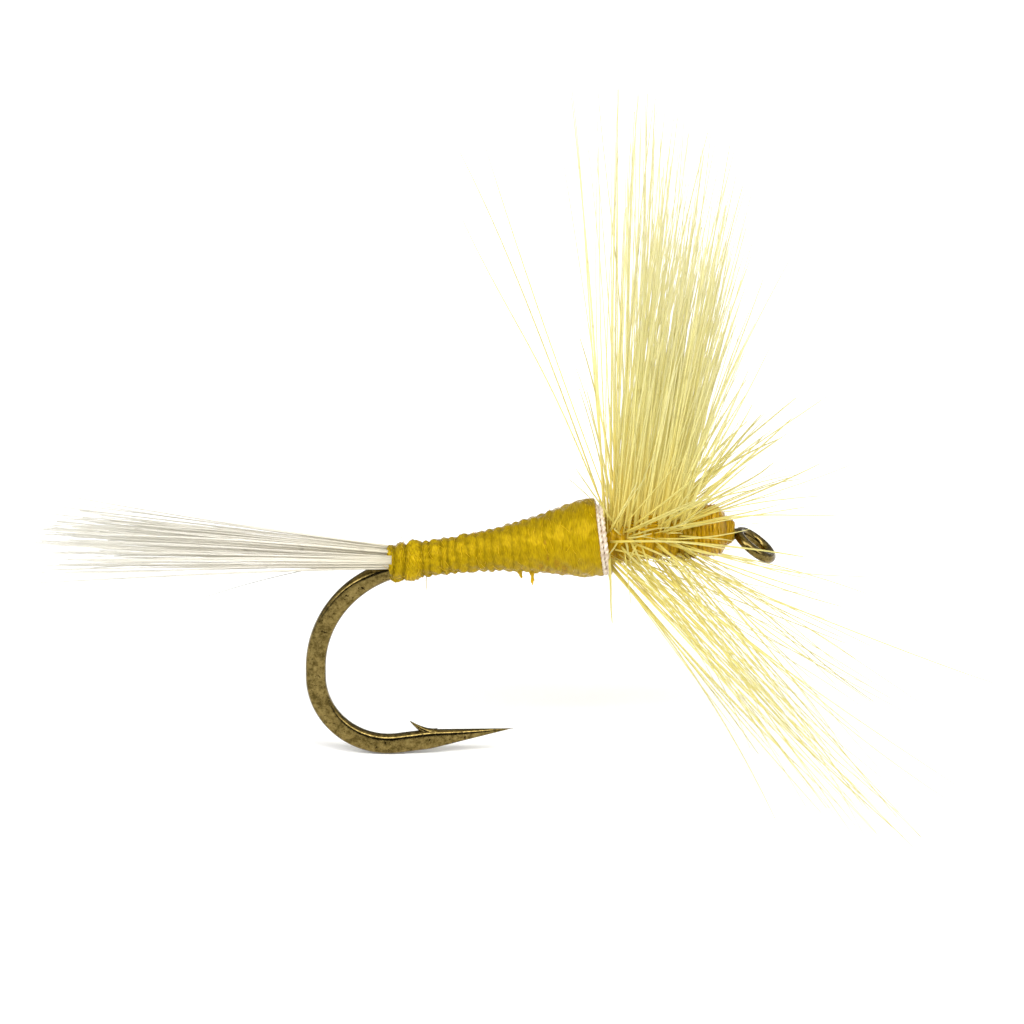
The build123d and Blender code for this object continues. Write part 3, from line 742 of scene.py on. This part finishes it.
def wing(name, node, side, sets, seed):
    """One clump. Each set is (count, rear and front end of its foot along the shank in mm, rear and front
    lean in degrees from upright, scatter of the lean, shortest and longest share of the wing's height). A
    fibre stands out to its side by up to 11 degrees, give or take its scatter, and those that lean forward by
    more than 4 degrees end lower, as the clump's outline slopes down forwards."""
    feet, runs, reaches, bends, widths = [], [], [], [], []
    for number, (count, rear_x, front_x, rear_lean, front_lean, lean_scatter, low, high) in enumerate(sets):
        chance, spread = scatter(count, seed + number)
        out = chance.uniform(0, 1, count)
        feet.append(wing_root + np.stack([
            (rear_x + (front_x - rear_x) * spread) * MM,
            side * (0.02 + 0.42 * out) * MM,
            chance.uniform(-0.25, 0.30, count) * MM - 0.3 * MM * out * out], -1))
        lean = rear_lean + (front_lean - rear_lean) * spread + chance.normal(0, lean_scatter, count)
        lean = np.radians(lean)
        splay = side * (0.02 + 0.17 * out) + chance.normal(0, 0.035, count)
        run = unit(np.stack([np.tan(lean), splay, np.ones(count)], -1))
        runs.append(run)
        outline = 1 - 0.30 * np.clip((lean - math.radians(4)) / math.radians(12), 0, 2)
        share = low + (high - low) * chance.uniform(0, 1, count)
        reaches.append((wing_top - wing_root[2]) * outline * share / run[:, 2])
        lean_on, splay_on = chance.normal(0, 0.03, count), chance.normal(0, 0.03, count)
        bends.append(np.stack([lean_on, splay_on, np.zeros(count)], -1))
        widths.append(chance.uniform(0.035, 0.085, count) * MM)
    feet, runs, reaches, bends, widths = map(np.concatenate, (feet, runs, reaches, bends, widths))
    shade = np.random.default_rng(seed).uniform(0.78, 1.0, len(feet))
    made = bunch(name, feet, runs, reaches, widths, bends, shade, rows=13, seed=seed + 50)
    made.data.materials.append(straw)
    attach(made, "root")
    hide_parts(node)


wing("near_wing_clump", "wing_near", -1, [
    (90, -0.85, 0.75, 5, 13, 3.0, 0.62, 0.84),
    (40, -0.60, 0.85, 7, 15, 4.0, 0.40, 0.70),
    (26, -0.70, 0.60, 2, 12, 2.5, 0.86, 1.0),
    (5, -0.95, -0.70, -4, 1, 1.0, 0.93, 1.0),
    (5, -0.30, -0.18, 1.1, 1.6, 0.3, 0.93, 1.0),
    (4, -0.60, 0.10, -0.5, 3.5, 1.0, 0.96, 1.0),
    (10, 0.2, 0.9, 16, 24, 4.0, 0.55, 0.85),
], seed=21)
wing("far_wing_clump", "wing_far", 1, [
    (90, -0.75, 0.80, 5, 14, 3.0, 0.62, 0.84),
    (36, -0.50, 0.85, 7, 15, 4.0, 0.40, 0.70),
    (22, -0.60, 0.60, 3, 13, 2.5, 0.86, 1.0),
    (7, -1.00, -0.60, -4, 2, 1.0, 0.88, 0.97),
    (8, 0.2, 0.9, 15, 22, 4.0, 0.55, 0.85),
], seed=41)

binding_radii = np.array([0.70, 0.64, 0.58]) * MM
binding_below, binding_above = 0.22 * MM, 0.16 * MM
binding_mid = np.array(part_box("wing_binding")).mean(0) - [0, 0, 0.05 * MM]
binding = winding("wing_binding_turns", binding_mid - upward * binding_below,
                  binding_mid + upward * binding_above, [0, 0.6, 1], binding_radii, 4, 0.05 * MM, around=120,
                  per_turn=14, oval=0.8, seed=6)
binding.data.materials.append(thread)
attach(binding, "root")
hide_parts("wing_binding")

# ---- hackle ----
# One cock's feather, wound by its stem: turns behind the wings and in front of them. The stem twists as it is
# wound, so it shows as a ribbed pale band, and its barbs splay all round and lean forward underneath.

quill_half = 0.062 * MM
rear_quill_r = 0.83 * MM
front_quill_r = 0.585 * MM
barb_ring_r = 0.58 * MM         # how far out from the thorax's line the barbs start
table_gap = 0.08 * MM
stout_below = 5.2               # a barb shorter than this, in mm, is a stouter one from near the stem's butt
stouter = 1.5

# Feather quill: a pinkish cream horn with a low shine and a darker grain, 9 to the millimetre.
quill, quill_shader = new_material("feather_quill", 0.38, Specular_IOR_Level=0.5)
tree = quill.node_tree
where = add_node(tree, "ShaderNodeTexCoord").outputs["Object"]
grain = add_node(tree, "ShaderNodeTexNoise", [("Vector", where)], Scale=9 / MM, Detail=3.0)
tone = add_node(tree, "ShaderNodeValToRGB", [("Fac", grain.outputs["Fac"])])
dark_stop, light_stop = tone.color_ramp.elements
dark_stop.position, dark_stop.color = 0.3, colour("#b79f86")
light_stop.position, light_stop.color = 0.7, colour("#ece2d2")
tree.links.new(quill_shader.inputs["Base Color"], tone.outputs["Color"])


def stem(name, node, start, turns, advance, radius, twist, made_of):
    """A quill wound as a helix round the thorax, going forward by advance in each turn, its flattened section
    turning twist times in each turn."""
    n = int(turns * 160)
    a = np.linspace(0, 2 * np.pi * turns, n)
    out = upward * np.cos(a)[:, None] - sideways * np.sin(a)[:, None]
    path = start + out * radius + forward * (a / (2 * np.pi) * advance)[:, None]
    tangent = unit(np.gradient(path, axis=0))
    turned = out * np.cos(a * twist)[:, None] + np.cross(tangent, out) * np.sin(a * twist)[:, None]
    half = np.full(n, quill_half)
    points = tube_points(path, np.cross(tangent, turned), turned, half * 0.72, half, columns=12, flat=4.0)
    made = piece_from(name, points.reshape(-1, 3), *tube_faces(n, 12))
    made.data.materials.append(made_of)
    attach(made, "root")
    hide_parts(node)


# The rear turns show bare quill. The front ones have the thread's finish, as its wax has stained them.
stem("rear_stem_turns", "hackle_stem_rear", on_shank(body_front[0] + 0.02 * MM, 0.21 * MM), turns=1.7,
     advance=0.11 * MM, radius=rear_quill_r, twist=19, made_of=quill)
stem("front_stem_turns", "hackle_stem_front", on_shank(head_rear_x - 0.42 * MM), turns=2.6,
     advance=0.12 * MM, radius=front_quill_r, twist=17, made_of=thread)


def hackle(name, node, sets, seed, hackle_material):
    """Barbs from the stem's turns. Each set is (count, from and to angle round the shank, 0 on top and 90
    towards the near side, forward lean in degrees, its scatter, shortest and longest length in mm, rear and
    front place on the shank in mm from the eye). A barb that would pass the table, or the hackle's own reach
    to the side, stops there."""
    right_reach, left_reach = np.array(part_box(node))[:, 1]
    feet, runs, reaches, bends, widths = [], [], [], [], []
    for number, row in enumerate(sets):
        count, turn_from, turn_to, lean, lean_scatter, short, tall, rear_x, front_x = row
        chance, spread = scatter(count, seed + number)
        turn = np.radians(turn_from + (turn_to - turn_from) * spread + chance.normal(0, 4, count))
        tilt = np.radians(lean + chance.normal(0, lean_scatter, count))
        radial = upward * np.cos(turn)[:, None] - sideways * np.sin(turn)[:, None]
        x = chance.uniform(rear_x, front_x, count) * MM
        foot = np.stack([on_shank(v) for v in x]) + radial * barb_ring_r
        run = radial * np.cos(tilt)[:, None] + forward * np.sin(tilt)[:, None]
        length = chance.uniform(short, tall, count) * MM
        bend = chance.normal(0, 0.075, (count, 3)) + np.array([0.0, 0, -0.02])
        drop = np.minimum(run[:, 2] + bend[:, 2], -1e-6)
        length = np.minimum(length, (foot[:, 2] - table_z - table_gap) / -drop)
        aside = run[:, 1] + bend[:, 1]
        room = np.where(aside > 0, left_reach, right_reach) - foot[:, 1]
        length = np.minimum(length, room / np.where(np.abs(aside) < 0.1, 0.1 * np.sign(aside), aside))
        feet.append(foot)
        runs.append(run)
        reaches.append(length)
        bends.append(bend)
        widths.append(chance.uniform(0.032, 0.060, count) * (stouter if tall < stout_below else 1.0) * MM)
    feet, runs, reaches, bends, widths = map(np.concatenate, (feet, runs, reaches, bends, widths))
    shade = np.random.default_rng(seed).uniform(0.80, 1.0, len(feet))
    made = bunch(name, feet, runs, reaches, widths, bends, shade, rows=13, seed=seed + 90)
    made.data.materials.append(hackle_material)
    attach(made, "root")
    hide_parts(node)


gold_straw = fibre_material("straw_hackle_barb", "#d6c45c", "#d9ce7c", "#cdc47e", "#8d7a28", cover=0.80,
                            glow=0.26)
hackle("rear_hackle_barbs", "hackle_barbs_rear", [
    (3, -20, 20, -14, 2, 9.4, 10.2, -3.6, -3.3),
    (14, -50, 50, 4, 10, 2.6, 5.0, -3.5, -2.8),
    (14, 40, 100, 26, 14, 2.4, 4.8, -3.5, -2.7),
    (10, 60, 110, 2, 12, 1.2, 2.6, -3.5, -2.7),
    (5, 100, 122, 40, 6, 3.5, 7.5, -3.5, -2.8),
    (21, 124, 150, 36, 2.6, 9.2, 10.8, -3.6, -2.7),
    (5, 190, 225, 38, 2.5, 7.4, 9.8, -3.6, -2.7),
    (12, 132, 190, 36, 4.5, 4.5, 8.6, -3.6, -2.7),
    (3, 106, 118, 36, 2.0, 9.6, 10.4, -3.4, -2.8),
    (3, 242, 254, 36, 2.0, 9.8, 10.6, -3.4, -2.8),
    (2, 176, 186, 33, 0.6, 7.0, 9.0, -3.6, -3.5),
    (6, 196, 235, 40, 4, 5.0, 8.8, -3.5, -2.8),
    (12, 235, 310, 14, 12, 3.5, 6.0, -3.5, -2.8),
], seed=31, hackle_material=gold_straw)
hackle("front_hackle_barbs", "hackle_barbs_front", [
    (30, -55, 60, 44, 14, 2.4, 4.6, -2.2, -1.6),
    (16, -40, 60, 12, 12, 2.4, 4.8, -2.4, -1.6),
    (14, 40, 100, 30, 16, 2.4, 5.0, -2.4, -1.6),
    (6, 96, 130, 52, 7, 3.5, 6.8, -2.2, -1.6),
    (11, 122, 148, 31, 2.4, 8.6, 10.4, -2.5, -1.7),
    (4, 190, 230, 36, 4.0, 6.0, 8.6, -2.5, -1.7),
    (10, 124, 186, 34, 5.0, 3.5, 7.4, -2.5, -1.7),
    (2, 148, 156, 57, 1.0, 7.2, 7.8, -1.9, -1.6),
    (5, 180, 235, 42, 6, 4.0, 7.4, -2.2, -1.6),
    (10, 235, 305, 16, 14, 3.0, 6.0, -2.2, -1.6),
], seed=61, hackle_material=gold_straw)

# The trimmed end of the quill, left under the thorax.
stem_low, stem_high = np.array(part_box("stem_tag"))
stem_foot = np.array([[(stem_low[0] + stem_high[0]) / 2, -0.1 * MM, stem_high[2] + 0.1 * MM]])
stem_tag = bunch("stem_tag_end", stem_foot, unit([[0.16, 0.0, -1.0]]), length=np.array([0.66 * MM]),
                 width=np.array([0.05 * MM]), bend=np.zeros((1, 3)), shade=np.array([0.72]), seed=9)
stem_tag.data.materials.append(gold_straw)
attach(stem_tag, "root")
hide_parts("stem_tag")

# ---- head ----
# A small cone of flat thread turns behind the eye. A whip knot, a few narrow turns over the thread's own end,
# finishes it, and a drop of clear lacquer soaks in and holds them.

head_stops = [0, 0.25, 0.6, 0.85, 1]
head_radii = np.array([0.58, 0.65, 0.64, 0.57, 0.42]) * MM
whip_radii = np.array([0.38, 0.27]) * MM
film_stops = [0, 0.4, 0.8, 1]
film_radii = np.array([0.665, 0.665, 0.60, 0.46]) * MM

head = winding("head_turns", on_shank(head_rear_x - 0.02 * MM), on_shank(head_front_x), head_stops,
               head_radii, 7, 0.035 * MM, around=130, per_turn=16, rough=0.012 * MM, seed=7)

# Thread soaked in lacquer: the wound thread's gold, wet-looking, with a sheen of its own colour from the
# share of metal and a thin clear coat.
head_thread = strand_material("lacquered_thread", "#966f00", "#c09400", "#deb810", filaments=8, lengthwise=14,
                              roughness=0.24, bump=0.010 * MM, Metallic=0.3, Specular_IOR_Level=0.15,
                              Coat_Weight=0.2, Coat_Roughness=0.08)
head.data.materials.append(head_thread)
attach(head, "root")
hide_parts("head_thread")

whip_low, whip_high = np.array(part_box("whip_finish"))
whip = winding("whip_finish_turns", on_shank(whip_low[0] - 0.02 * MM, 0.10 * MM),
               on_shank(whip_high[0] + 0.02 * MM, 0.06 * MM), [0, 1], whip_radii, 3, 0.03 * MM, around=110,
               per_turn=16, seed=8)
whip.data.materials.append(head_thread)
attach(whip, "root")
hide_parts("whip_finish")

# Clear head cement: a film too thin to hide the thread, which shows only as a sharp gloss with a hint of
# amber.
cement, _ = new_material("clear_head_cement", 0.06, colour("#b98208"), Alpha=0.06, IOR=1.5,
                         Coat_Weight=1.0, Coat_Roughness=0.03)
film_low, film_high = np.array(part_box("head_cement"))
lacquer = winding("head_cement_film", on_shank(film_low[0] + 0.06 * MM), on_shank(film_high[0] - 0.02 * MM),
                  film_stops, film_radii, 2, 0.006 * MM, around=110, per_turn=20, rough=0.012 * MM, seed=9)
lacquer.data.materials.append(cement)
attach(lacquer, "root")
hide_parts("head_cement")
